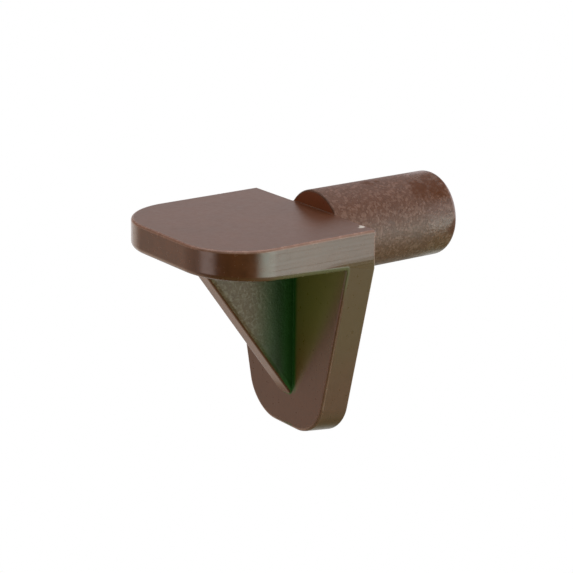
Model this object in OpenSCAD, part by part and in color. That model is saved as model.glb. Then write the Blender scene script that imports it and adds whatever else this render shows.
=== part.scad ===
// Shelf support pin: a seat plate, a back plate, a stiffening web and a round pin, moulded in one piece.
// The pin pushes into a hole in a cabinet side until the shoulder stops it, and a shelf rests on the seat.
// The origin is on the pin's axis in the shoulder plane, +X points into the cabinet side and +Z is up.

/* [Pin] */
// Diameter of the pin
pin_d = 5; // [4:0.1:6.4]
// Length of the pin from the shoulder to its tip
pin_l = 8.7; // [5:0.1:12]
// Radius of the rounded edge at the tip
tip_r = 0.4; // [0.1:0.05:1]

/* [Seat] */
// Width of the seat, and of the back plate where it meets the seat
seat_w = 11.4; // [9:0.1:15]
// Length of the seat from the shoulder to its front edge
seat_l = 10.25; // [8:0.05:14]
// Thickness of the seat at the shoulder
seat_t = 2.2; // [1.6:0.05:3]
// Thickness of the seat at its front edge
seat_front_t = 1.65; // [1:0.05:2]
// Height of the seat's top above the pin's axis
seat_z = 1.5; // [0.5:0.05:2]
// Radius of the two front corners, seen from above
corner_r = 3.6; // [1:0.1:4]
// Radius of the rounded edge round the seat's top
rim_r = 0.15; // [0.05:0.05:0.4]

/* [Back plate] */
// Thickness of the back plate
plate_t = 1.9; // [1.2:0.1:3]
// Depth of the back plate's lowest edge below the pin's axis
plate_drop = 11.45; // [9:0.05:15]
// Height of the back plate's upright sides below the seat, before they lean inwards
upright_h = 0.05; // [0.05:0.05:2]
// Angle by which each side of the back plate leans inwards
plate_taper = 14; // [0:1:18]
// Radius of the two bottom corners
foot_r = 2.5; // [1:0.1:3.5]
// Draft angle of the back plate's edge, from the shoulder to the front face
plate_draft = 7.5; // [0:0.5:10]

/* [Web] */
// Thickness of the web
web_t = 1.5; // [0.8:0.05:2]
// Distance from the seat's front edge back to the top of the web's sloping edge
web_setback = 1.85; // [0.5:0.05:4]
// Height of the foot of the sloping edge above the back plate's lowest edge
web_foot_h = 2.25; // [1:0.05:4]
// Radius of the two long edges of the sloping edge
web_edge_r = 0.3; // [0.1:0.05:0.35]
// Radius of the fillets in the inner corners
fillet_r = 0.15; // [0.1:0.05:0.5]

/* [Hidden] */
$fn = 96;

// Length by which cutting and joining shapes run past the faces that they meet
past = 1;
// Depth to which a fillet is sunk into the faces it joins, and depth by which its arc cuts into them
sink = 0.2;
bite = 0.0005;
// Distance between the ends of the web's fillets and the rounded part of its sloping edge
fillet_gap = 0.1;
// Span that clears the whole part, for shapes that are cut back to length
span = 4 * (seat_l + plate_drop);

// Slope of the seat's underside from the shoulder to the front edge
under_angle = atan((seat_t - seat_front_t) / seat_l);

// Height of the seat's underside at a distance x in front of the shoulder
function under_z(x) = seat_z - seat_t + x * tan(under_angle);

// Centre of the near front corner
corner_x = -seat_l + corner_r;
corner_y = -seat_w / 2 + corner_r;

// The back plate's outline is drawn square to its drafted edge, so its heights are shortened by the draft
draft_scale = cos(plate_draft);
foot_z = -plate_drop * draft_scale;
taper_z = (seat_z - seat_t - upright_h) * draft_scale;
// Half the width of the outline at height z, before the bottom corners are rounded
function plate_half(z) = seat_w / 2 + (z - taper_z) * tan(plate_taper);
// Least width of the level bottom edge, and the radius that leaves it between the two corners
foot_flat = 0.2;
foot_room = (plate_half(foot_z) - foot_flat / 2) * cos(plate_taper) / (1 - sin(plate_taper));
foot_fit_r = min(foot_r, foot_room);
// Centre of a bottom corner
foot_cz = foot_z + foot_fit_r;
foot_cy = plate_half(foot_cz) - foot_fit_r / cos(plate_taper);

// The web's sloping edge, from the seat's underside to the back plate's front face
web_reach = seat_l - web_setback;
web_drop = plate_drop - web_foot_h;
web_top = [-web_reach, under_z(web_reach)];
web_foot = [-plate_t, -web_drop];
web_run = web_foot - web_top;
web_angle = atan2(-web_run[1], web_run[0]);

// Area left between a square corner of side r and the circle that rounds it, reaching past the corner
module round_off(r) {
    difference() {
        translate([-past, -past])
            square(r + past);
        translate([r, r])
            circle(r);
    }
}

// Area that fills the inner corner p between two faces, which leave it at angles a and a + open
module fill_corner(p, a, open, r) {
    bisector = a + open / 2;
    centre = r / sin(open / 2) * [cos(bisector), sin(bisector)];
    back = -sink / sin(open / 2) * [cos(bisector), sin(bisector)];
    depth = r + sink;
    translate(p)
        difference() {
            polygon([
                back,
                centre + depth * [sin(a), -cos(a)],
                centre,
                centre + depth * [-sin(a + open), cos(a + open)]
            ]);
            translate(centre)
                circle(r + bite);
        }
}

// Draws a shape laid out in X and Z as a bar that is centred on the middle plane and runs along Y
module along_y(width) {
    rotate([90, 0, 0])
        linear_extrude(width, center = true)
            children();
}

// Both halves of what is drawn on one side of the middle plane
module both_sides() {
    children();
    mirror([0, 1, 0])
        children();
}

// Seat seen from above: straight sides and a straight front edge, joined by round corners
module seat_plan() {
    translate([corner_x, -seat_w / 2])
        square([seat_l - corner_r, seat_w]);
    translate([-seat_l, corner_y])
        square([corner_r, seat_w - 2 * corner_r]);
    for (y = [corner_y, -corner_y])
        translate([corner_x, y])
            circle(corner_r);
}

// Seat seen from the side: level on top, thinner towards the front
module seat_profile() {
    polygon([
        [0, seat_z],
        [-seat_l - past, seat_z],
        [-seat_l - past, under_z(seat_l + past)],
        [0, under_z(0)]
    ]);
}

// What the rounded top edge takes off: along both sides, both front corners and the front edge
module rim_cut() {
    both_sides() {
        translate([corner_x, -seat_w / 2, seat_z])
            rotate([90, 0, 90])
                linear_extrude(seat_l - corner_r + past)
                    mirror([0, 1])
                        round_off(rim_r);
        translate([corner_x, corner_y, seat_z])
            rotate([0, 0, 180])
                rotate_extrude(angle = 90)
                    translate([corner_r, 0])
                        rotate(180)
                            round_off(rim_r);
    }
    translate([-seat_l, 0, seat_z])
        along_y(seat_w - 2 * corner_r)
            mirror([0, 1])
                round_off(rim_r);
}

// Plate that the shelf rests on
module seat() {
    difference() {
        intersection() {
            linear_extrude(span, center = true)
                seat_plan();
            along_y(span)
                seat_profile();
        }
        rim_cut();
    }
}

// One side of the back plate seen from the front: half the level bottom, a round corner and a leaning side
module plate_side() {
    translate([foot_cy, foot_cz]) {
        translate([-foot_cy, -foot_fit_r])
            square([foot_cy, foot_fit_r]);
        rotate(-plate_taper) {
            circle(foot_fit_r);
            square([foot_fit_r, span]);
        }
    }
}

// Back plate seen from the front, up to the middle of the seat's thickness
module plate_outline() {
    top_z = (seat_z - seat_t / 2) * draft_scale;
    over_z = top_z + past;
    core = plate_half(over_z) - foot_fit_r / 2;
    intersection() {
        union() {
            plate_side();
            mirror([1, 0])
                plate_side();
            polygon([[-foot_cy, foot_cz], [foot_cy, foot_cz], [core, over_z], [-core, over_z]]);
        }
        translate([-span / 2, top_z - span])
            square(span);
    }
}

// Room that the back plate's drafted edge leaves to it, cut flush with the sides of the seat
module plate_room() {
    intersection() {
        rotate([0, plate_draft, 0])
            rotate([90, 0, 90])
                linear_extrude(span, center = true)
                    plate_outline();
        linear_extrude(span, center = true)
            seat_plan();
    }
}

// Plate that bears on the cabinet side, with the fillet under the seat
module back_plate() {
    inner = [-plate_t, under_z(plate_t)];
    intersection() {
        plate_room();
        union() {
            along_y(span)
                translate([-plate_t, -span / 2])
                    square([plate_t, span]);
            along_y(span)
                fill_corner(inner, 180 - under_angle, 90 + under_angle, fillet_r);
        }
    }
}

// Cross-section of the web: X is how far a point lies in front of the sloping edge, and Y is its side
module web_section() {
    half = web_t / 2;
    mirror([1, 0]) {
        translate([web_edge_r, -half])
            square([span, web_t]);
        translate([0, -half + web_edge_r])
            square([2 * web_edge_r, web_t - 2 * web_edge_r]);
    }
    for (y = [-half + web_edge_r, half - web_edge_r])
        translate([-web_edge_r, y])
            circle(web_edge_r);
}

// Everything that lies deeper than a given depth behind the web's sloping edge
module behind_slope(depth) {
    translate([web_foot[0], 0, web_foot[1]])
        rotate([0, web_angle - 90, 0])
            translate([depth, -span / 2, -span / 2])
                cube(span);
}

// Fillets between one side of the web and the seat and back plate, which stop short of the rounded edge
module web_fillets() {
    intersection() {
        union() {
            translate([-plate_t, -web_t / 2, -web_drop])
                linear_extrude(web_drop + seat_z - seat_t / 2)
                    fill_corner([0, 0], 180, 90, fillet_r);
            translate([0, -web_t / 2, under_z(0)])
                rotate([0, under_angle, 0])
                    rotate([90, 0, -90])
                        linear_extrude(seat_l)
                            fill_corner([0, 0], 270, 90, fillet_r);
        }
        behind_slope(web_edge_r + fillet_gap);
    }
}

// Three-cornered web that props the seat on the back plate
module web() {
    intersection() {
        translate([web_foot[0], 0, web_foot[1]])
            rotate([0, web_angle - 90, 0])
                rotate([0, 0, 180])
                    linear_extrude(span, center = true)
                        web_section();
        along_y(span)
            translate([-seat_l, -plate_drop])
                square([seat_l - plate_t / 2, plate_drop + seat_z - seat_front_t / 2]);
    }
    both_sides()
        web_fillets();
}

// Round pin with a rounded edge at its tip
module pin() {
    rotate([0, 90, 0])
        rotate_extrude() {
            square([pin_d / 2 - tip_r, pin_l]);
            square([pin_d / 2, pin_l - tip_r]);
            intersection() {
                translate([pin_d / 2 - tip_r, pin_l - tip_r])
                    circle(tip_r);
                square([pin_d, pin_l]);
            }
        }
}

module shelf_support_pin() {
    color("#6e4a3c") {
        seat();
        back_plate();
        web();
        pin();
    }
}

shelf_support_pin();
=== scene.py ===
"""Looks of a moulded shelf support pin: its body, its plastic and the small studio that it stands in."""

import logging
import math
from dataclasses import dataclass
from enum import Enum
from typing import Any, Callable, Iterable, Self

import bmesh
import bpy
from bmesh.types import BMEdge, BMFace, BMVert
from mathutils import Matrix, Vector

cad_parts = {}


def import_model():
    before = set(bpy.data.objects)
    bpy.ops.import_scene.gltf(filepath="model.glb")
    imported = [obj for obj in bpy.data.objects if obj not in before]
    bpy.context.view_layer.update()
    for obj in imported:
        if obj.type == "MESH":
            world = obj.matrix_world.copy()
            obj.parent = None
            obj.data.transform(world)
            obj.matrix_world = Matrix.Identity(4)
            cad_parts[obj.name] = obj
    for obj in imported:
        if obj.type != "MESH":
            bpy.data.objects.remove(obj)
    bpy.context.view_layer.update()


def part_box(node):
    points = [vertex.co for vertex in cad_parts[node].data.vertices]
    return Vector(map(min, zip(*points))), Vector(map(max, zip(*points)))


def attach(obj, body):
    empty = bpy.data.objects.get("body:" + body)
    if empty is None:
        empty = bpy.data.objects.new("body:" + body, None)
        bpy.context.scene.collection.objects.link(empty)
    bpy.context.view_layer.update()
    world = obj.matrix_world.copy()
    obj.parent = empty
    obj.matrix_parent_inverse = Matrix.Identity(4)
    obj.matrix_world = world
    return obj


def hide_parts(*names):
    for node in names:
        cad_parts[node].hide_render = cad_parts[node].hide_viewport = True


LOG = logging.getLogger("shelf_support_pin")
NODE = "shelf_support_pin"
MM = 0.001

# Least part of its normal along an axis for a face that looks roughly, nearly or straight along it
LEANING = 0.8
FACING = 0.9
STRAIGHT = 0.99
# Millimetres by which two places may differ and still be the same, finely and roughly measured
CLOSE = 0.004
ROUGHLY = 0.01
# Millimetres from a corner or side within which a strip of faces, or any rounding, belongs to it
STRIP = 0.1
ROUNDING = 0.3
# Millimetres beside the web from where the plate's front edge is pale
BESIDE_WEB = 0.25
# Millimetres across the part where the near side starts and where it is full
NEAR_SIDE = (0.3, -0.3)
# Angles in radians: edges under the first are smooth, those under the second bend rather than turn
CREASE = 0.13
BEND = 0.4
# Refractive index of the plastic, how little a smudge reflects, and how strong a smudge is at most
PLASTIC_IOR = 1.5
DULL = 0.1
SMUDGE_STRENGTH = 0.8

Triple = tuple[float, float, float]
Span = tuple[float, float]


class Place(Enum):
    """The parts of the surface that have finishes of their own, in the order of their slots."""

    POLISHED = 0
    SEAT_TOP = 1
    SEAT_SIDE = 2
    PLATE = 3
    WEB = 4
    PIN = 5
    RIM = 6
    PIN_END = 7


class Streaks(Enum):
    """Which way fine tool marks run: the factors squeeze a pattern across its run, in 1/mm."""

    NONE = (1.0, 1.0, 1.0)
    LENGTHWISE = (0.12, 9.0, 9.0)
    UPRIGHT = (7.0, 7.0, 0.3)


@dataclass(frozen=True)
class PartSizes:
    """Sizes of the part in millimetres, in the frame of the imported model.

    The last letter tells a length, width, thickness or radius. Drops are measured down from the pin's axis.

    Attributes:
        seat_z: Height of the seat's top above the pin's axis.
        plate_taper: Degrees by which the back plate's sides lean in.
        plate_lift: Height of its lower front edge above its lower rear edge.
        upright_h: Height over which its sides stay upright below the seat.
        web_reach: Distance from the shoulder to the top of the web's sloping edge.
        root_ring: Place of a ring of edges round the pin, which keeps its shading even.
        sink: Depth of the pin in the back plate.
    """

    seat_l: float
    seat_w: float
    plate_drop: float
    pin_l: float
    pin_r: float
    seat_z: float = 1.5
    seat_t: float = 2.2
    seat_front_t: float = 1.65
    corner_r: float = 3.6
    plate_t: float = 1.9
    plate_taper: float = 14.0
    plate_lift: float = 0.25
    upright_h: float = 0.05
    foot_r: float = 2.5
    web_t: float = 1.5
    web_reach: float = 8.4
    web_drop: float = 9.2
    tip_r: float = 0.4
    root_ring: float = 0.4
    sink: float = 0.002

    @classmethod
    def of_node(cls, node: str) -> Self:
        """Reads the overall sizes off the model.

        Args:
            node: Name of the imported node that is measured.

        Returns:
            The sizes in millimetres.
        """
        low, high = (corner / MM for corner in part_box(node))
        return cls(seat_l=-low.x, seat_w=high.y - low.y, plate_drop=-low.z, pin_l=high.x, pin_r=high.z)

    @property
    def half_seat(self) -> float:
        """Half the width of the seat."""
        return self.seat_w / 2

    @property
    def half_web(self) -> float:
        """Half the thickness of the web."""
        return self.web_t / 2

    @property
    def neck_z(self) -> float:
        """A height a little below the seat, to tell the seat from what hangs below it."""
        return self.seat_z - self.seat_t - ROUNDING

    def under_z(self, x: float) -> float:
        """Height of the seat's underside at the place x, which is negative in front of the shoulder."""
        slope = (self.seat_t - self.seat_front_t) / self.seat_l
        return self.seat_z - self.seat_t - x * slope


@dataclass(frozen=True)
class EdgeRadii:
    """Radii in millimetres of the rounded edges. The moon is the part of the pin's end above the seat."""

    moon_arc: float = 0.1
    moon_foot: float = 0.03
    rear_top: float = 0.08
    top_rim: float = 0.16
    web_slope: float = 0.3
    inner_corners: float = 0.03
    seat_under: float = 0.34
    plate_front: float = 0.2
    outline: float = 0.12


@dataclass(frozen=True)
class Fineness:
    """How many flat steps each round shape is made of."""

    seat_corner: int = 32
    foot_corner: int = 28
    pin: int = 160
    pin_tip: int = 8
    edge: int = 6


@dataclass(frozen=True)
class EdgeRule:
    """A group of edges: its radius in millimetres, a test for an edge, and whether it breaks the shading."""

    name: str
    radius: float
    holds: Callable[[BMEdge], bool]
    sharp: bool = False


class Bench:
    """Small acts of hand modelling in edit mode, each on what is picked by its place."""

    @staticmethod
    def clear() -> None:
        """Leaves edit mode and deselects every object."""
        if bpy.context.object and bpy.context.object.mode != "OBJECT":
            bpy.ops.object.mode_set(mode="OBJECT")
        bpy.ops.object.select_all(action="DESELECT")

    @staticmethod
    def pick(kind: str, holds: Callable[[Any], bool]) -> int:
        """Selects the parts of the mesh that a test holds for, and nothing else.

        Args:
            kind: "VERT", "EDGE" or "FACE".
            holds: Test on a vertex, edge or face.

        Returns:
            How many were selected.
        """
        bpy.ops.mesh.select_mode(type=kind)
        bpy.ops.mesh.select_all(action="DESELECT")
        mesh = bpy.context.edit_object.data
        shape = bmesh.from_edit_mesh(mesh)
        items = {"VERT": shape.verts, "EDGE": shape.edges, "FACE": shape.faces}[kind]
        picked = [item for item in items if holds(item)]
        for item in picked:
            item.select_set(True)
        shape.select_flush_mode()
        bmesh.update_edit_mesh(mesh)
        return len(picked)

    @staticmethod
    def block(name: str, low: Triple, high: Triple) -> bpy.types.Object:
        """Adds a block between two corners.

        Args:
            name: Name of the new object.
            low: Its lowest corner.
            high: Its highest corner.

        Returns:
            The block.
        """
        Bench.clear()
        middle = [(a + b) / 2 for a, b in zip(low, high)]
        size = [b - a for a, b in zip(low, high)]
        bpy.ops.mesh.primitive_cube_add(size=1, location=middle, scale=size)
        made = bpy.context.object
        made.name = name
        bpy.ops.object.transform_apply()
        return made

    @staticmethod
    def finish_with(body: bpy.types.Object, name: str, kind: str, settings: dict[str, Any]) -> None:
        """Adds a modifier to the active object and applies it.

        Args:
            body: The active object.
            name: Name of the modifier.
            kind: Its type.
            settings: Its properties.
        """
        modifier = body.modifiers.new(name, kind)
        for setting, value in settings.items():
            setattr(modifier, setting, value)
        bpy.ops.object.modifier_apply(modifier=modifier.name)

    @staticmethod
    def near(a: float, b: float, slack: float = CLOSE) -> bool:
        """Whether two lengths agree to within a slack."""
        return abs(a - b) < slack

    @staticmethod
    def middle(part: BMEdge | BMFace) -> Vector:
        """Middle of an edge or face."""
        return sum((v.co for v in part.verts), Vector()) / len(part.verts)


class Value:
    """A number in a node tree. Arithmetic on it adds Math nodes."""

    def __init__(self, tree: "NodeBench", socket: bpy.types.NodeSocket) -> None:
        """Wraps a socket of the tree."""
        self.tree = tree
        self.socket = socket

    def _math(self, operation: str, *values: "Number") -> "Value":
        """Adds one Math node.

        Args:
            operation: The node's operation.
            values: Numbers or values for its sockets, in order.

        Returns:
            Its result.
        """
        made = self.tree.add("ShaderNodeMath", {"operation": operation}, dict(enumerate(values)))
        return Value(self.tree, made.outputs[0])

    def __add__(self, other: "Number") -> "Value":
        """Sum."""
        return self._math("ADD", self, other)

    def __radd__(self, other: "Number") -> "Value":
        """Sum with a number on the left."""
        return self._math("ADD", other, self)

    def __sub__(self, other: "Number") -> "Value":
        """Difference."""
        return self._math("SUBTRACT", self, other)

    def __rsub__(self, other: "Number") -> "Value":
        """Difference from a number on the left."""
        return self._math("SUBTRACT", other, self)

    def __mul__(self, other: "Number") -> "Value":
        """Product."""
        return self._math("MULTIPLY", self, other)

    def __rmul__(self, other: "Number") -> "Value":
        """Product with a number on the left."""
        return self._math("MULTIPLY", other, self)

    def __truediv__(self, other: "Number") -> "Value":
        """Quotient."""
        return self._math("DIVIDE", self, other)

    def clip(self) -> "Value":
        """The value held between 0 and 1."""
        return self._math("MAXIMUM", self._math("MINIMUM", self, 1.0), 0.0)

    def size(self) -> "Value":
        """The value without its sign."""
        return self._math("ABSOLUTE", self)

    def most(self, other: "Number") -> "Value":
        """The larger of two values."""
        return self._math("MAXIMUM", self, other)

    def step(self, low: float, high: float) -> "Value":
        """Makes a soft step from the value.

        Args:
            low: Where it is still 0.
            high: Where it is 1, which may be below where it is 0.

        Returns:
            A value from 0 to 1.
        """
        ends = (low, high, 0.0, 1.0) if low < high else (high, low, 1.0, 0.0)
        smooth = {"interpolation_type": "SMOOTHSTEP"}
        made = self.tree.add("ShaderNodeMapRange", smooth, dict(enumerate((self, *ends))))
        return Value(self.tree, made.outputs[0])


Number = Value | float


class NodeBench:
    """Adds nodes to one tree."""

    def __init__(self, tree: bpy.types.NodeTree) -> None:
        """Takes a tree and empties it."""
        self.tree = tree
        tree.nodes.clear()

    def add(
        self,
        kind: str,
        settings: dict[str, Any] | None = None,
        inputs: dict[int | str, Any] | None = None,
    ) -> bpy.types.Node:
        """Adds a node.

        Args:
            kind: Its type.
            settings: Its properties.
            inputs: A number, colour, value or socket for each socket, by name or place.

        Returns:
            The node.
        """
        node = self.tree.nodes.new(kind)
        for name, setting in (settings or {}).items():
            setattr(node, name, setting)
        for name, given in (inputs or {}).items():
            socket = node.inputs[name]
            source = given.socket if isinstance(given, Value) else given
            if isinstance(source, bpy.types.NodeSocket):
                self.tree.links.new(source, socket)
            elif socket.type == "RGBA":
                socket.default_value = (*source, 1)
            else:
                socket.default_value = source
        return node

    def distance(self, place: bpy.types.NodeSocket, spot: Triple) -> Value:
        """Distance from a place to a fixed spot."""
        made = self.add("ShaderNodeVectorMath", {"operation": "DISTANCE"}, {0: place, 1: spot})
        return Value(self, made.outputs["Value"])

    def mix(self, share: Number, first: Any, second: Any, blend: str = "MIX") -> bpy.types.NodeSocket:
        """Mixes a second colour into a first by a share from 0 to 1."""
        settings = {"data_type": "RGBA", "blend_type": blend}
        return self.add("ShaderNodeMix", settings, {0: share, 6: first, 7: second}).outputs[2]


class Coat:
    """A finish in the making: the place it is measured at, and its colour, relief and roughness so far."""

    def __init__(self, bench: NodeBench) -> None:
        """Starts from the piece's own coordinates, in millimetres.

        Args:
            bench: The material's nodes.
        """
        self.bench = bench
        own = bench.add("ShaderNodeTexCoord").outputs["Object"]
        scaled = bench.add("ShaderNodeVectorMath", {"operation": "SCALE"}, {0: own, "Scale": 1 / MM})
        self.place = scaled.outputs[0]
        axes = bench.add("ShaderNodeSeparateXYZ", None, {0: self.place})
        self.x, self.y, self.z = (Value(bench, axes.outputs[axis]) for axis in "XYZ")
        self.cloud = self.noise(scale=0.55, detail=3.0)
        self.blotch = self.noise(scale=2.6, detail=3.0)
        self.near_side = self.y.step(*NEAR_SIDE)
        self.colour: Any = None
        self.height: Any = 0.0
        self.roughness: Any = 0.0

    def noise(self, scale: float, detail: float = 2.0, squeeze: Triple | None = None) -> Value:
        """Adds a noise pattern.

        Args:
            scale: How many lumps fit in a millimetre.
            detail: How fine its finest lumps are.
            squeeze: Factors by which it is squeezed along each axis.

        Returns:
            The pattern, from -0.5 to 0.5.
        """
        place = self.place
        if squeeze is not None:
            inputs = {0: place, 1: squeeze}
            place = self.bench.add("ShaderNodeVectorMath", {"operation": "MULTIPLY"}, inputs).outputs[0]
        inputs = {"Vector": place, "Scale": scale, "Detail": detail, "Roughness": 0.6}
        return Value(self.bench, self.bench.add("ShaderNodeTexNoise", None, inputs).outputs[0]) - 0.5

    def paint(self, share: Number, colour: Any) -> None:
        """Lays a colour over the coat by a share from 0 to 1."""
        self.colour = self.bench.mix(share, self.colour, colour)


@dataclass(frozen=True)
class Tint:
    """A colour laid over a region. Each span runs from where it starts to where it is full."""

    colour: Triple
    x: Span | None = None
    y: Span | None = None
    z: Span | None = None

    def share(self, coat: Coat) -> Number:
        """Measures how strong the tint is, alike on both sides.

        Args:
            coat: The finish that it is laid on.

        Returns:
            A share from 0 to 1.
        """
        share: Number = 1.0
        for value, span in ((coat.x, self.x), (coat.y.size(), self.y), (coat.z, self.z)):
            if span is not None:
                share = value.step(*span) * share
        return share


@dataclass(frozen=True)
class RecessShade:
    """Painted shade in the corner between the web and the back plate: dark and green, on the near side.

    Attributes:
        soft: How it fades over the plate, as shares of its width.
        line: Its painted shade along the corner line.
        rise: Heights between which it turns from the foot's colour to its own.
        tip_z: Height where its width is nothing.
        widening: Width that it gains with each millimetre of height.
        least: Least height that its width is taken from.
    """

    colour: Triple
    foot: Triple
    soft: Span
    line: Triple = (0.015, 0.1, 0.012)
    line_fade: Span = (0.45, 0.1)
    rise: Span = (-9.5, -3.0)
    tip_z: float = -9.5
    widening: float = 0.44
    least: float = 0.05
    foot_fade: Span = (-9.2, -8.7)
    face_fade: Span = (-1.8, -1.88)

    def lay_on(self, coat: Coat) -> None:
        """Paints the shade into the corner.

        Args:
            coat: The plate's finish.
        """
        away = (-PartSizes.plate_t - coat.x).most(0) + (coat.y.size() - PartSizes.web_t / 2).most(0)
        tone = coat.bench.mix(coat.z.step(*self.rise), self.foot, self.colour)
        tone = coat.bench.mix(away.step(*self.line_fade), tone, self.line)
        width = (coat.z - self.tip_z).most(self.least) * self.widening
        share = (away / width).step(*self.soft) * coat.z.step(*self.foot_fade) * coat.x.step(*self.face_fade)
        coat.paint(share * coat.near_side, tone)


@dataclass(frozen=True)
class SoftBend:
    """The bend of the seat's sides into the back plate's, drawn as relief between two heights."""

    top: float = 0.1
    foot: float = -0.3
    x: Span = (-4.0, -2.0)
    y: Span = (4.9, 5.2)

    def depth(self, coat: Coat) -> Value:
        """Measures how deep the side lies behind a plane one.

        Args:
            coat: The finish of the seat's sides.

        Returns:
            The depth in millimetres. Its slope grows from the top to the foot and then stays.
        """
        start, full = (self.top - coat.z).most(0), (self.foot - coat.z).most(0)
        on_side = coat.x.step(*self.x) * coat.y.size().step(*self.y)
        lean = math.tan(math.radians(PartSizes.plate_taper))
        return (start * start - full * full) * on_side * (lean / (2 * (self.top - self.foot)))


@dataclass(frozen=True)
class Spot:
    """A small round place on the surface, in millimetres."""

    x: float
    y: float
    z: float
    width: float

    def away(self, coat: Coat) -> Value:
        """Distance from its middle."""
        return coat.bench.distance(coat.place, (self.x, self.y, self.z))


@dataclass(frozen=True)
class Smudge(Spot):
    """A patch with a ragged outline that reflects little. Its spans are shares of its width."""

    ragged: float = 2.5
    fade: Span = (1.2, 0.3)

    def share(self, coat: Coat) -> Value:
        """Measures how strong the smudge is.

        Args:
            coat: The finish that it is on.

        Returns:
            A share from 0 to 1.
        """
        edge = self.away(coat) + coat.blotch * (self.ragged * self.width)
        return edge.step(*(self.width * end for end in self.fade))


@dataclass(frozen=True)
class Nick(Spot):
    """A pale crescent that stands a little proud: a round spot without one that is set off beside it."""

    colour: Triple = (0.6, 0.55, 0.5)
    height: float = 0.01
    inside: Span = (1.0, 0.75)
    outside: Span = (1.2, 1.45)

    def lay_on(self, coat: Coat) -> None:
        """Adds the crescent.

        Args:
            coat: The finish that it is on.
        """
        beside = Spot(self.x - self.width, self.y + self.width, self.z, self.width)
        share = self.away(coat).step(*(self.width * end for end in self.inside))
        share = share * beside.away(coat).step(*(self.width * end for end in self.outside))
        coat.paint(share, self.colour)
        coat.height = coat.height + share * self.height


@dataclass(frozen=True)
class SmoothTip:
    """The smoother end of the pin, from a border that wanders. It takes away a share of the relief."""

    start: float
    roughness: float = 0.26
    fade: Span = (-1.2, 0.4)
    wander: float = 5.0
    flattens: float = 0.7

    def lay_on(self, coat: Coat) -> None:
        """Smooths the tip.

        Args:
            coat: The pin's finish.
        """
        share = (coat.x + coat.blotch * self.wander).step(*(self.start + end for end in self.fade))
        coat.roughness = coat.roughness + (self.roughness - coat.roughness) * share
        coat.height = coat.height * (1 - self.flattens * share)


@dataclass(frozen=True)
class Glints:
    """Painted glints: grains painted paler, and others darker than the rest, by the random tone of each; all
    differ in height.
    """

    strength: float
    light: Span = (0.45, 0.85)
    dark: Span = (0.35, 0.1)
    relief: float = 0.3
    darkness: float = 0.6


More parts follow.
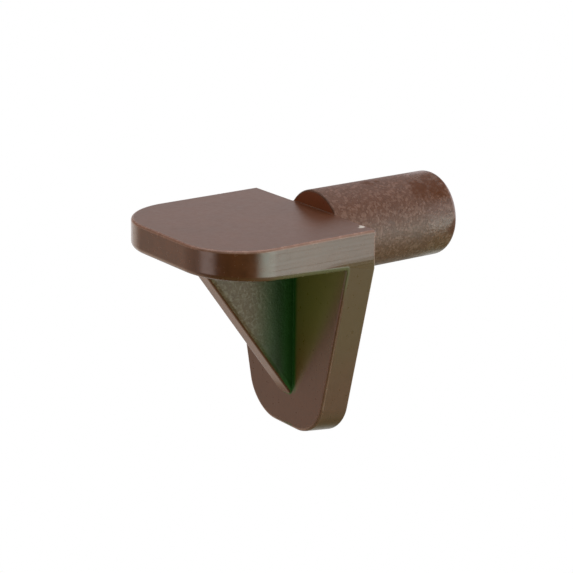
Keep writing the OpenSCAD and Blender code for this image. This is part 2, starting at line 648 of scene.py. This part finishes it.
@dataclass(frozen=True)
class PlasticFinish:
    """One finish of the moulded plastic. Depths and sizes are in millimetres.

    Attributes:
        pale: Colour of the painted highlights along rounded edges and of the painted glints.
        edge_highlight: How strongly the painted highlight shows along edges.
        patchy: How strongly that drifts.
        clouds: How strongly the tone drifts.
        uneven: How strongly the roughness drifts.
        gloss: How strongly it reflects.
        streaks: Which way tool marks run.
        tints: Colours laid under the grains: the web's greyer tone, and elsewhere a painted olive cast of
            reflected greenish surroundings.
        shades: Painted shade laid over the grains, on the near side.
        recess_shade: Painted shade, dark and green, in the corner beside the web.
    """

    name: str
    roughness: float
    colour: Triple = (0.1, 0.029, 0.009)
    pale: Triple = (0.3, 0.16, 0.12)
    edge_highlight: float = 0.75
    patchy: float = 0.9
    clouds: float = 0.1
    uneven: float = 0.06
    gloss: float = 0.5
    grain_size: float = 0.12
    grain_depth: float = 0.0
    streaks: Streaks = Streaks.NONE
    streak_depth: float = 0.0
    glints: Glints | None = None
    tip: SmoothTip | None = None
    bend: SoftBend | None = None
    tints: tuple[Tint, ...] = ()
    shades: tuple[Tint, ...] = ()
    recess_shade: RecessShade | None = None
    smudges: tuple[Smudge, ...] = ()
    nicks: tuple[Nick, ...] = ()

    def build(self) -> bpy.types.Material:
        """Makes the material.

        Returns:
            The material.
        """
        material = bpy.data.materials.new(self.name)
        material.use_nodes = True
        bench = NodeBench(material.node_tree)
        coat = Coat(bench)
        self.lay_ground(coat)
        if self.tip is not None:
            self.tip.lay_on(coat)
        if self.bend is not None:
            coat.height = coat.height - self.bend.depth(coat)
        for tint in self.tints:
            coat.paint(tint.share(coat), tint.colour)
        if self.glints is not None:
            self.add_glints(coat, self.glints)
        # Painted shade, on the near side only.
        for tint in self.shades:
            coat.paint(tint.share(coat) * coat.near_side, tint.colour)
        # Painted shade in the corner beside the web, on the near side.
        if self.recess_shade is not None:
            self.recess_shade.lay_on(coat)
        # Painted highlight: the rounded edges are painted paler along their rims.
        rim = Value(bench, bench.add("ShaderNodeAttribute", {"attribute_name": "pale"}).outputs["Fac"])
        coat.paint(rim * (self.edge_highlight + coat.blotch * self.patchy), self.pale)
        for nick in self.nicks:
            nick.lay_on(coat)
        bench.add("ShaderNodeOutputMaterial", None, {"Surface": self.shader(coat)})
        LOG.info("finish %s mixed", self.name)
        return material

    def lay_ground(self, coat: Coat) -> None:
        """Gives the coat its drifting colour, roughness, grain and tool marks.

        Args:
            coat: The finish in the making.
        """
        grain = coat.noise(1 / self.grain_size)
        coat.roughness = self.roughness + coat.blotch * (2 * self.uneven) + grain * self.uneven
        coat.height = grain * self.grain_depth
        light = coat.cloud * (2 * self.clouds) + coat.blotch * self.clouds
        if self.streaks is not Streaks.NONE:
            streak = coat.noise(scale=1.0, squeeze=self.streaks.value)
            coat.height = coat.height + streak * self.streak_depth
            coat.roughness = coat.roughness + streak * self.uneven
            light = light + streak * self.clouds
        coat.colour = coat.bench.mix(light + 0.5, self.shade(0.0), self.shade(2.0))

    def add_glints(self, coat: Coat, glints: Glints) -> None:
        """Paints single grains paler as glints, and others darker than the rest.

        Args:
            coat: The finish in the making.
            glints: How they stand out.
        """
        inputs = {"Vector": coat.place, "Scale": 1 / self.grain_size}
        tone = Value(coat.bench, coat.bench.add("ShaderNodeTexVoronoi", None, inputs).outputs["Color"])
        coat.height = coat.height + (tone - 0.5) * (glints.relief * self.grain_depth)
        # Painted glints on the paler grains.
        coat.paint(tone.step(*glints.light) * glints.strength, self.pale)
        coat.paint(tone.step(*glints.dark) * glints.strength, self.shade(glints.darkness))

    def shader(self, coat: Coat) -> bpy.types.NodeSocket:
        """Makes the shader.

        Args:
            coat: The finished coat.

        Returns:
            The shader's output.
        """
        bench = coat.bench
        bump = bench.add("ShaderNodeBump", None, {"Strength": 1.0, "Distance": MM, "Height": coat.height})
        plastic = bench.add(
            "ShaderNodeBsdfPrincipled",
            None,
            {
                "Base Color": coat.colour,
                "Roughness": coat.roughness.clip(),
                "IOR": PLASTIC_IOR,
                "Specular IOR Level": self.gloss,
                "Normal": bump.outputs[0],
            },
        )
        if not self.smudges:
            return plastic.outputs[0]
        smudged = bench.add(
            "ShaderNodeBsdfPrincipled",
            None,
            {"Base Color": self.shade(0.9), "Roughness": 0.5, "IOR": PLASTIC_IOR, "Specular IOR Level": DULL},
        )
        share: Number = 0.0
        for smudge in self.smudges:
            share = smudge.share(coat).most(share)
        inputs = {0: share * SMUDGE_STRENGTH, 1: plastic.outputs[0], 2: smudged.outputs[0]}
        return bench.add("ShaderNodeMixShader", None, inputs).outputs[0]

    def shade(self, factor: float) -> Triple:
        """The plastic's colour, made darker or lighter by a factor."""
        return tuple(factor * part for part in self.colour)


PIN_SMUDGES = (
    Smudge(6.6, -1.45, 2.05, 0.8),
    Smudge(7.6, -1.4, 2.1, 1.0),
    Smudge(8.4, -2.45, -0.3, 0.5),
    Smudge(3.6, -0.2, 2.48, 0.4),
    Smudge(4.3, -0.2, 2.48, 0.25),
)


def finishes() -> dict[Place, PlasticFinish]:
    """Lists the finish of each place.

    Returns:
        The finishes by their places.
    """
    return {
        Place.POLISHED: PlasticFinish(
            "polished", 0.24, clouds=0.25, uneven=0.1, grain_size=0.2, grain_depth=0.0015
        ),
        Place.SEAT_TOP: PlasticFinish(
            "seat_top", 0.34, grain_size=0.16, grain_depth=0.0015, nicks=(Nick(-0.35, -4.7, 1.5, 0.3),)
        ),
        Place.SEAT_SIDE: PlasticFinish(
            "seat_side",
            0.26,
            streaks=Streaks.LENGTHWISE,
            streak_depth=0.014,
            bend=SoftBend(),
            # Painted reflection: an olive cast of greenish surroundings low on the seat's sides, where they
            # bend into the back plate.
            tints=(Tint((0.096, 0.04, 0.009), x=(-3.0, -1.9), z=(0.1, -0.3)),),
        ),
        Place.PLATE: PlasticFinish(
            "plate",
            0.3,
            streaks=Streaks.UPRIGHT,
            streak_depth=0.004,
            # Painted reflection: an olive cast of greenish surroundings on the upper back plate, fading out
            # towards its foot.
            tints=(Tint((0.096, 0.04, 0.009), z=(-9.0, -4.0)),),
            # Painted shade: the plate's front is painted dark and green beside the web.
            recess_shade=RecessShade((0.13, 0.135, 0.028), foot=(0.13, 0.07, 0.018), soft=(1.6, 1.0)),
        ),
        Place.WEB: PlasticFinish(
            "web",
            0.5,
            gloss=0.36,
            grain_size=0.13,
            grain_depth=0.035,
            uneven=0.14,
            glints=Glints(0.3),
            pale=(0.31, 0.24, 0.17),
            tints=(Tint((0.11, 0.06, 0.03), x=(-1.9, -3.2)),),
            # Painted shade: the web's side darkens and turns green towards its corner with the back plate and
            # lower down, with a green line along the corner.
            shades=(
                Tint((0.022, 0.06, 0.008), x=(-5.2, -2.7)),
                Tint((0.026, 0.034, 0.006), x=(-5.2, -2.7), z=(-4.5, -8.5)),
                Tint((0.03, 0.13, 0.02), x=(-3.0, -2.2)),
            ),
        ),
        Place.PIN: PlasticFinish(
            "pin",
            0.48,
            grain_size=0.13,
            grain_depth=0.035,
            uneven=0.12,
            glints=Glints(0.32),
            tip=SmoothTip(7.2),
            smudges=PIN_SMUDGES,
        ),
        Place.PIN_END: PlasticFinish(
            "pin_end", 0.3, colour=(0.26, 0.062, 0.016), grain_size=0.16, grain_depth=0.003
        ),
        Place.RIM: PlasticFinish(
            "rim",
            0.26,
            grain_size=0.2,
            grain_depth=0.0008,
            # Painted reflection: an olive cast of greenish surroundings on the rounded lower edges of the
            # seat's sides, behind the front corners.
            tints=(Tint((0.105, 0.08, 0.032), x=(-7.4, -6.4), y=(5.1, 5.5), z=(0.1, -0.35)),),
        ),
    }


@dataclass(frozen=True)
class RimHighlightTones:
    """How strongly each kind of rounded edge is painted pale as a highlight, from 0 to 1."""

    seat_top: float = 1.0
    rear_of_seat: float = 0.8
    rear_of_plate: float = 0.45
    pin_root: float = 0.4
    plate_front: float = 0.4
    elsewhere: float = 0.0


@dataclass(frozen=True)
class MouldedBody:
    """The one moulded piece, modelled in millimetres and then scaled to metres."""

    sizes: PartSizes
    finishes: dict[Place, PlasticFinish]
    radii: EdgeRadii = EdgeRadii()
    steps: Fineness = Fineness()
    tones: RimHighlightTones = RimHighlightTones()

    def build(self) -> bpy.types.Object:
        """Models the body, rounds its edges and dresses it.

        Returns:
            The object, in metres.
        """
        body = self.seat_block()
        self.draw_down_back_plate()
        self.round_outline()
        self.stand_web()
        self.join_pin(body)
        for place in Place:
            body.data.materials.append(self.finishes[place].build())
        self.round_edges(body)
        self.sort_faces(body)
        self.tone_rims(body)
        self.to_metres()
        return body

    def seat_block(self) -> bpy.types.Object:
        """Makes the seat, thinner towards the front, and stays in edit mode.

        Returns:
            The body.
        """
        s = self.sizes
        low = (-s.seat_l, -s.half_seat, s.seat_z - s.seat_t)
        body = Bench.block("pin_body", low, (0, s.half_seat, s.seat_z))
        bpy.ops.object.mode_set(mode="EDIT")
        Bench.pick("VERT", lambda v: v.co.x < -s.seat_l / 2 and v.co.z < s.seat_z - s.seat_t / 2)
        bpy.ops.transform.translate(value=(0, 0, s.seat_t - s.seat_front_t))
        return body

    def draw_down_back_plate(self) -> None:
        """Extrudes the rear strip of the underside down and draws its sides in."""
        s = self.sizes
        Bench.pick("FACE", lambda f: f.normal.z < -FACING)
        bpy.ops.mesh.bisect(plane_co=(-s.plate_t, 0, 0), plane_no=(1, 0, 0))
        Bench.pick("FACE", lambda f: f.normal.z < -FACING and Bench.middle(f).x > -s.plate_t)
        fall = s.plate_drop + s.under_z(0)
        bpy.ops.mesh.extrude_region_move(TRANSFORM_OT_translate={"value": (0, 0, -fall)})
        front_z = s.under_z(-s.plate_t) - fall
        Bench.pick("VERT", lambda v: Bench.near(v.co.z, front_z) and v.co.x < -s.plate_t / 2)
        bpy.ops.transform.translate(value=(0, 0, s.plate_lift - s.plate_drop - front_z))
        foot = s.half_seat - (fall - s.upright_h) * math.tan(math.radians(s.plate_taper))
        Bench.pick("VERT", lambda v: v.co.z < -s.plate_drop / 2)
        bpy.ops.transform.resize(value=(1, foot * 2 / s.seat_w, 1), center_override=(0, 0, 0))

    def round_outline(self) -> None:
        """Rounds the seat's two front corners and the back plate's two bottom corners."""
        s = self.sizes

        def keeps_y(e: BMEdge) -> bool:
            """Whether both ends of an edge are equally far across the seat."""
            return Bench.near(e.verts[0].co.y, e.verts[1].co.y)

        Bench.pick("EDGE", lambda e: keeps_y(e) and all(Bench.near(v.co.x, -s.seat_l) for v in e.verts))
        bpy.ops.mesh.bevel(offset=s.corner_r, segments=self.steps.seat_corner)
        Bench.pick("EDGE", lambda e: keeps_y(e) and all(v.co.z < -s.plate_drop / 2 for v in e.verts))
        run = s.foot_r * math.tan(math.radians((90 - s.plate_taper) / 2))
        bpy.ops.mesh.bevel(offset=run, segments=self.steps.foot_corner)

    def stand_web(self) -> None:
        """Cuts the web's footprint out of the seat and back plate and bridges it with three faces."""
        s = self.sizes

        def under(f: BMFace) -> bool:
            """Whether a face is part of the seat's underside."""
            return f.normal.z < -FACING and Bench.middle(f).z > -s.plate_drop / 2

        def front(f: BMFace) -> bool:
            """Whether a face is part of the back plate's front."""
            return f.normal.x < -FACING and Bench.near(Bench.middle(f).x, -s.plate_t, STRIP)

        def in_strip(f: BMFace) -> bool:
            """Whether a face lies between the two sides of the web."""
            return abs(Bench.middle(f).y) < STRIP

        def in_footprint(f: BMFace) -> bool:
            """Whether a face is covered by the web."""
            at = Bench.middle(f)
            return in_strip(f) and (under(f) or front(f)) and -s.web_reach < at.x and -s.web_drop < at.z

        for side in (-s.half_web, s.half_web):
            Bench.pick("FACE", lambda f: under(f) or front(f))
            bpy.ops.mesh.bisect(plane_co=(0, side, 0), plane_no=(0, 1, 0))
        Bench.pick("FACE", lambda f: under(f) and in_strip(f))
        bpy.ops.mesh.bisect(plane_co=(-s.web_reach, 0, 0), plane_no=(1, 0, 0))
        Bench.pick("FACE", lambda f: front(f) and in_strip(f))
        bpy.ops.mesh.bisect(plane_co=(0, 0, -s.web_drop), plane_no=(0, 0, 1))
        Bench.pick("FACE", in_footprint)
        bpy.ops.mesh.delete(type="FACE")
        top, foot = (-s.web_reach, s.under_z(-s.web_reach)), (-s.plate_t, -s.web_drop)
        corner = (-s.plate_t, s.under_z(-s.plate_t))

        def at(v: BMVert, places: Iterable[Span], sides: Iterable[int]) -> bool:
            """Whether a vertex is at one of some corners of the web, on one of some sides of it."""
            on = any(Bench.near(v.co.x, x, ROUGHLY) and Bench.near(v.co.z, z, ROUGHLY) for x, z in places)
            return on and any(Bench.near(v.co.y, side * s.half_web) for side in sides)

        Bench.pick("VERT", lambda v: at(v, (top, foot), (-1, 1)))
        bpy.ops.mesh.edge_face_add()
        for side in (-1, 1):
            Bench.pick("VERT", lambda v: at(v, (top, foot, corner), (side,)))
            bpy.ops.mesh.edge_face_add()
        bpy.ops.mesh.select_all(action="SELECT")
        bpy.ops.mesh.normals_make_consistent(inside=False)

    def join_pin(self, body: bpy.types.Object) -> None:
        """Adds the pin with its rounded tip and joins it to the body.

        Args:
            body: The body to join it to.
        """
        s = self.sizes
        Bench.clear()
        bpy.ops.mesh.primitive_cylinder_add(
            vertices=self.steps.pin,
            radius=s.pin_r,
            depth=s.pin_l + s.sink,
            location=((s.pin_l - s.sink) / 2, 0, 0),
            rotation=(0, math.pi / 2, 0),
        )
        pin = bpy.context.object
        pin.name = "pin_shaft"
        bpy.ops.object.transform_apply()
        bpy.ops.object.mode_set(mode="EDIT")
        Bench.pick("EDGE", lambda e: all(Bench.near(v.co.x, s.pin_l) for v in e.verts))
        bpy.ops.mesh.bevel(offset=s.tip_r, segments=self.steps.pin_tip)
        Bench.clear()
        body.select_set(True)
        bpy.context.view_layer.objects.active = body
        union = {"operation": "UNION", "solver": "EXACT", "object": pin}
        Bench.finish_with(body, "join_pin", "BOOLEAN", union)
        bpy.data.objects.remove(pin)
        bpy.ops.object.mode_set(mode="EDIT")
        bpy.ops.mesh.select_all(action="SELECT")
        bpy.ops.mesh.remove_doubles(threshold=2 * s.sink)
        Bench.pick("FACE", lambda f: Bench.middle(f).x > ROUGHLY)
        bpy.ops.mesh.bisect(plane_co=(s.root_ring, 0, 0), plane_no=(1, 0, 0))
        bpy.ops.object.mode_set(mode="OBJECT")

    def edge_rules(self) -> list[EdgeRule]:
        """Lists the groups of edges, most particular first.

        Returns:
            The rules. An edge belongs to the first that holds for it.
        """
        s, r = self.sizes, self.radii
        near, middle = Bench.near, Bench.middle

        def rear(e: BMEdge) -> bool:
            """Whether an edge lies in the shoulder plane."""
            return all(near(v.co.x, 0) for v in e.verts)

        def on_pin(e: BMEdge) -> bool:
            """Whether an edge lies where the pin leaves the shoulder."""
            return rear(e) and all(near(math.hypot(v.co.y, v.co.z), s.pin_r, ROUGHLY) for v in e.verts)

        def on_top(e: BMEdge) -> bool:
            """Whether an edge lies in the seat's top."""
            return all(near(v.co.z, s.seat_z) for v in e.verts)

        def on_moon(e: BMEdge) -> bool:
            """Whether an edge is part of the pin's rim above the seat."""
            return on_pin(e) and middle(e).z > s.seat_z - ROUGHLY and e.is_convex

        def along_web(e: BMEdge) -> bool:
            """Whether an edge runs along one side of the web."""
            one_side = e.verts[0].co.y * e.verts[1].co.y > 0
            return one_side and all(near(abs(v.co.y), s.half_web) for v in e.verts)

        def bends(e: BMEdge) -> bool:
            """Whether an edge is where the seat's side meets the plate's."""
            return abs(middle(e).y) > s.half_seat - 2 * ROUGHLY and e.calc_face_angle(0) < BEND

        def under_seat(e: BMEdge) -> bool:
            """Whether an edge is part of the seat's lower rim."""
            return middle(e).z > s.neck_z and middle(e).x < -s.plate_t

        return [
            EdgeRule("moon_arc", r.moon_arc, on_moon),
            EdgeRule("pin_root", 0.0, lambda e: on_pin(e) and not on_top(e), sharp=True),
            EdgeRule("moon_foot", r.moon_foot, lambda e: rear(e) and on_top(e) and not e.is_convex),
            EdgeRule("rear_top", r.rear_top, lambda e: rear(e) and on_top(e)),
            EdgeRule("top_rim", r.top_rim, on_top),
            EdgeRule("web_slope", r.web_slope, lambda e: along_web(e) and e.is_convex),
            EdgeRule("inner_corners", r.inner_corners, lambda e: not e.is_convex),
            EdgeRule("side_bend", 0.0, bends, sharp=True),
            EdgeRule("pin_tip", 0.0, lambda e: middle(e).x > s.root_ring),
            EdgeRule("seat_under", r.seat_under, under_seat),
            EdgeRule("plate_front", r.plate_front, lambda e: all(v.co.x < -s.plate_t / 2 for v in e.verts)),
            EdgeRule("outline", r.outline, lambda e: True),
        ]

    def round_edges(self, body: bpy.types.Object) -> None:
        """Rounds every crease by its rule with one bevel.

        Args:
            body: The body, with sharp edges.
        """
        rules = self.edge_rules()
        widest = max(rule.radius for rule in rules)

        def rule_of(e: BMEdge) -> EdgeRule | None:
            """The rule of a crease."""
            return next(r for r in rules if r.holds(e)) if e.calc_face_angle(0) > CREASE else None

        bpy.ops.object.mode_set(mode="EDIT")
        for rule in rules:
            count = Bench.pick("EDGE", lambda e: rule_of(e) is rule)
            if count:
                bpy.ops.transform.edge_bevelweight(value=rule.radius / widest)
            LOG.info("%s: %d edges rounded to %.2f mm", rule.name, count, rule.radius)
        sharp = [rule for rule in rules if rule.sharp]
        Bench.pick("EDGE", lambda e: rule_of(e) in sharp)
        bpy.ops.mesh.mark_sharp()
        bpy.ops.object.mode_set(mode="OBJECT")
        bpy.ops.object.shade_smooth()
        rounding = {
            "limit_method": "WEIGHT",
            "width": widest,
            "segments": self.steps.edge,
            "use_clamp_overlap": False,
            "miter_outer": "MITER_ARC",
            "material": Place.RIM.value,
        }
        Bench.finish_with(body, "round_edges", "BEVEL", rounding)
        self.part_bend_ends()
        facing = {"mode": "FACE_AREA", "weight": 100, "keep_sharp": True}
        Bench.finish_with(body, "flat_faces_lead", "WEIGHTED_NORMAL", facing)

    @staticmethod
    def flat(f: BMFace) -> bool:
        """Whether a face is not part of a rounded edge."""
        return f.material_index != Place.RIM.value

    def part_bend_ends(self) -> None:
        """Marks the seat's sides sharp at the ends of their bends, so that they shade flat."""

        def ends_bend(v: BMVert) -> bool:
            """Whether a vertex in front of the shoulder is on a sharp edge."""
            return v.co.x < -STRIP / 2 and any(not e.smooth for e in v.link_edges)

        def on_seat_side(e: BMEdge) -> bool:
            """Whether an edge borders a side of the seat."""
            return any(self.flat(f) and abs(f.normal.y) > STRAIGHT for f in e.link_faces)

        bpy.ops.object.mode_set(mode="EDIT")
        Bench.pick("EDGE", lambda e: on_seat_side(e) and any(map(ends_bend, e.verts)))
        bpy.ops.mesh.mark_sharp()
        bpy.ops.object.mode_set(mode="OBJECT")

    def sort_faces(self, body: bpy.types.Object) -> None:
        """Gives each face the finish of its place.

        Args:
            body: The body, whose rounded edges have their finish.
        """
        s, flat = self.sizes, self.flat

        def on_web(f: BMFace, at: Vector) -> bool:
            """Whether a face is a side of the web or the strip in its corner with the plate."""
            web = abs(f.normal.y) > LEANING or (not flat(f) and at.x > -s.plate_t - STRIP)
            return web and at.z < s.neck_z and at.x < -s.plate_t + ROUGHLY and abs(at.y) < s.half_web + STRIP

        def on_plate(f: BMFace, at: Vector) -> bool:
            """Whether a face is the front, a side or the foot of the back plate."""
            return flat(f) and at.z < s.neck_z and -s.plate_t - ROUGHLY < at.x < -ROUGHLY

        def on_side(f: BMFace, at: Vector) -> bool:
            """Whether a face is a side of the seat."""
            return flat(f) and abs(f.normal.y) > STRAIGHT and abs(at.y) > s.half_seat - STRIP

        tests: dict[Place, Callable[[BMFace, Vector], bool]] = {
            Place.SEAT_TOP: lambda f, at: flat(f) and f.normal.z > FACING and at.x < ROUGHLY,
            Place.SEAT_SIDE: on_side,
            Place.PLATE: on_plate,
            Place.WEB: on_web,
            Place.PIN: lambda f, at: at.x > ROUGHLY,
            Place.PIN_END: lambda f, at: flat(f) and f.normal.x < -FACING and at.z > s.seat_z,
        }
        bpy.ops.object.mode_set(mode="EDIT")
        for place, holds in tests.items():
            count = Bench.pick("FACE", lambda f: holds(f, Bench.middle(f)))
            body.active_material_index = place.value
            bpy.ops.object.material_slot_assign()
            LOG.info("%s: %d faces", place.name.lower(), count)
        bpy.ops.object.mode_set(mode="OBJECT")

    def tone_rims(self, body: bpy.types.Object) -> None:
        """Writes how strongly each rounded edge is painted pale as a highlight, which is 0 where its strip
        starts.

        Args:
            body: The sorted body.
        """
        mesh = body.data
        others = [face for face in mesh.polygons if face.material_index != Place.RIM.value]
        bordering = {v for face in others for v in face.vertices}
        pale = mesh.attributes.new("pale", "FLOAT", "POINT")
        for vertex, tone in zip(mesh.vertices, pale.data):
            tone.value = 0.0 if vertex.index in bordering else self.rim_tone(vertex.co)

    def rim_tone(self, at: Vector) -> float:
        """Looks up how strongly a rounded edge is painted pale as a highlight.

        Args:
            at: A place on it.

        Returns:
            The tone.
        """
        s, t = self.sizes, self.tones
        rear = at.x > -ROUNDING
        if rear and math.hypot(at.y, at.z) < s.pin_r + 2 * ROUGHLY:
            return t.pin_root
        if at.z > s.seat_z - ROUNDING:
            return t.seat_top
        if rear:
            return t.rear_of_seat if at.z > s.neck_z else t.rear_of_plate
        if at.z < s.neck_z and at.x < -s.plate_t / 2 and abs(at.y) > s.half_web + BESIDE_WEB:
            return t.plate_front
        return t.elsewhere

    @staticmethod
    def to_metres() -> None:
        """Scales the body from millimetres to metres."""
        bpy.ops.object.mode_set(mode="EDIT")
        bpy.ops.mesh.select_all(action="SELECT")
        bpy.ops.transform.resize(value=(MM, MM, MM), center_override=(0, 0, 0))
        bpy.ops.object.mode_set(mode="OBJECT")


@dataclass(frozen=True)
class CameraStand:
    """Where the camera stands, its turns in degrees, its lens, and the span that it sees in metres."""

    place_mm: Triple = (-69.176, -91.979, 31.878)
    azimuth: float = -36.2
    elevation: float = 16.949
    roll: float = 0.686
    lens_mm: float = 131.74
    sensor_mm: float = 36
    reach: Span = (0.001, 10)

    def build(self) -> bpy.types.Object:
        """Sets up the camera.

        Returns:
            The camera, now the scene's own.
        """
        a, e, r = (math.radians(angle) for angle in (self.azimuth, self.elevation, self.roll))
        back = Vector((math.sin(a) * math.cos(e), -math.cos(a) * math.cos(e), math.sin(e)))
        level = Vector((math.cos(a), math.sin(a), 0))
        over = back.cross(level)
        right = level * math.cos(r) + over * math.sin(r)
        up = over * math.cos(r) - level * math.sin(r)
        camera = bpy.data.objects.new("camera", bpy.data.cameras.new("camera"))
        camera.data.lens = self.lens_mm
        camera.data.sensor_width = self.sensor_mm
        camera.data.clip_start, camera.data.clip_end = self.reach
        camera.matrix_world = Matrix((right, up, back)).transposed().to_4x4()
        camera.location = Vector(self.place_mm) * MM
        bpy.context.scene.collection.objects.link(camera)
        bpy.context.scene.camera = camera
        return camera


@dataclass(frozen=True)
class SoftPatch:
    """One soft lamp: the way to it, where it is full and where dark, in degrees, and its light."""

    name: str
    azimuth: float
    elevation: float
    inner: float
    outer: float
    light: Triple

    def way(self) -> Triple:
        """Unit vector from the part to the lamp."""
        a, e = math.radians(self.azimuth), math.radians(self.elevation)
        return math.sin(a) * math.cos(e), -math.cos(a) * math.cos(e), math.sin(e)


@dataclass(frozen=True)
class Studio:
    """The studio: a white floor and backdrop, and a dome of soft lamps."""

    base_light: Triple = (0.1, 0.115, 0.08)
    white: Triple = (1.0, 1.0, 1.0)
    floor_radius: float = 1.0
    patches: tuple[SoftPatch, ...] = (
        SoftPatch("overhead", 150, 82, 20, 50, (1.8, 1.7, 1.7)),
        SoftPatch("rear_high", 150, 38, 15, 42, (0.25, 0.22, 0.22)),
        SoftPatch("right_key", 20, -14, 8, 24, (4.0, 4.9, 4.35)),
        SoftPatch("right_wide", 45, 4, 16, 40, (1.7, 1.75, 1.8)),
        SoftPatch("right_rear", 88, 6, 14, 34, (1.4, 1.4, 1.5)),
        SoftPatch("left_key", -90, -13, 5, 18, (3.1, 2.5, 2.35)),
        SoftPatch("left_wide", -140, -20, 20, 48, (0.8, 0.6, 0.5)),
        SoftPatch("rear_left", 178, -15, 8, 24, (0.75, 0.7, 0.65)),
        SoftPatch("rear_low", 140, -14, 20, 45, (0.7, 0.65, 0.7)),
        SoftPatch("under_rear", -168, -44, 10, 30, (0.5, 0.35, 0.25)),
        SoftPatch("under_right", 40, -45, 14, 36, (0.35, 0.5, 0.35)),
        SoftPatch("green_low", -36, -60, 15, 45, (0.03, 0.12, 0.03)),
        SoftPatch("green_under", 112, -48, 14, 36, (0.04, 0.12, 0.05)),
    )

    def build(self) -> None:
        """Makes the dome and the floor, and keeps colours plain."""
        self.light_dome()
        self.lay_floor()
        settings = bpy.context.scene.view_settings
        settings.view_transform = "Standard"
        settings.look = "None"
        LOG.info("studio: floor and %d soft lamps", len(self.patches))

    def light_dome(self) -> None:
        """Gives the world its soft lamps. The camera sees plain white instead."""
        world = bpy.data.worlds.new("studio")
        bpy.context.scene.world = world
        world.use_nodes = True
        bench = NodeBench(world.node_tree)
        way = bench.add("ShaderNodeTexCoord").outputs["Generated"]
        colour: Any = self.base_light
        for patch in self.patches:
            dot = bench.add("ShaderNodeVectorMath", {"operation": "DOT_PRODUCT"}, {0: way, 1: patch.way()})
            dark, full = (math.cos(math.radians(angle)) for angle in (patch.outer, patch.inner))
            mask = Value(bench, dot.outputs["Value"]).step(dark, full)
            colour = bench.mix(mask, colour, patch.light, "ADD")
        lamps = bench.add("ShaderNodeBackground", None, {"Color": colour})
        backdrop = bench.add("ShaderNodeBackground", None, {"Color": self.white})
        seen = bench.add("ShaderNodeLightPath").outputs["Is Camera Ray"]
        both = bench.add("ShaderNodeMixShader", None, {0: seen, 1: lamps.outputs[0], 2: backdrop.outputs[0]})
        bench.add("ShaderNodeOutputWorld", None, {"Surface": both.outputs[0]})

    def lay_floor(self) -> None:
        """Lays a white floor, which is seen from above and never shades or lights the part."""
        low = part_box(NODE)[0]
        Bench.clear()
        bpy.ops.mesh.primitive_circle_add(
            vertices=96, radius=self.floor_radius, fill_type="NGON", location=(0, 0, low.z)
        )
        floor = bpy.context.object
        floor.name = "floor"
        paint = bpy.data.materials.new("floor_white")
        paint.use_nodes = True
        bench = NodeBench(paint.node_tree)
        glow = bench.add("ShaderNodeEmission", None, {"Color": self.white})
        clear = bench.add("ShaderNodeBsdfTransparent")
        back = bench.add("ShaderNodeNewGeometry").outputs["Backfacing"]
        side = bench.add("ShaderNodeMixShader", None, {0: back, 1: glow.outputs[0], 2: clear.outputs[0]})
        bench.add("ShaderNodeOutputMaterial", None, {"Surface": side.outputs[0]})
        floor.data.materials.append(paint)
        for ray in ("diffuse", "glossy", "transmission", "shadow"):
            setattr(floor, f"visible_{ray}", False)


def main() -> None:
    """Builds the part and its studio, and writes down how many faces the body has."""
    logging.basicConfig(level=logging.INFO, format="%(name)s: %(message)s")
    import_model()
    CameraStand().build()
    Studio().build()
    sizes = PartSizes.of_node(NODE)
    body = MouldedBody(sizes, finishes()).build()
    LOG.info("%s: %d faces", body.name, len(body.data.polygons))
    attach(body, "root")
    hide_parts(NODE)


if __name__ == "__main__":
    main()
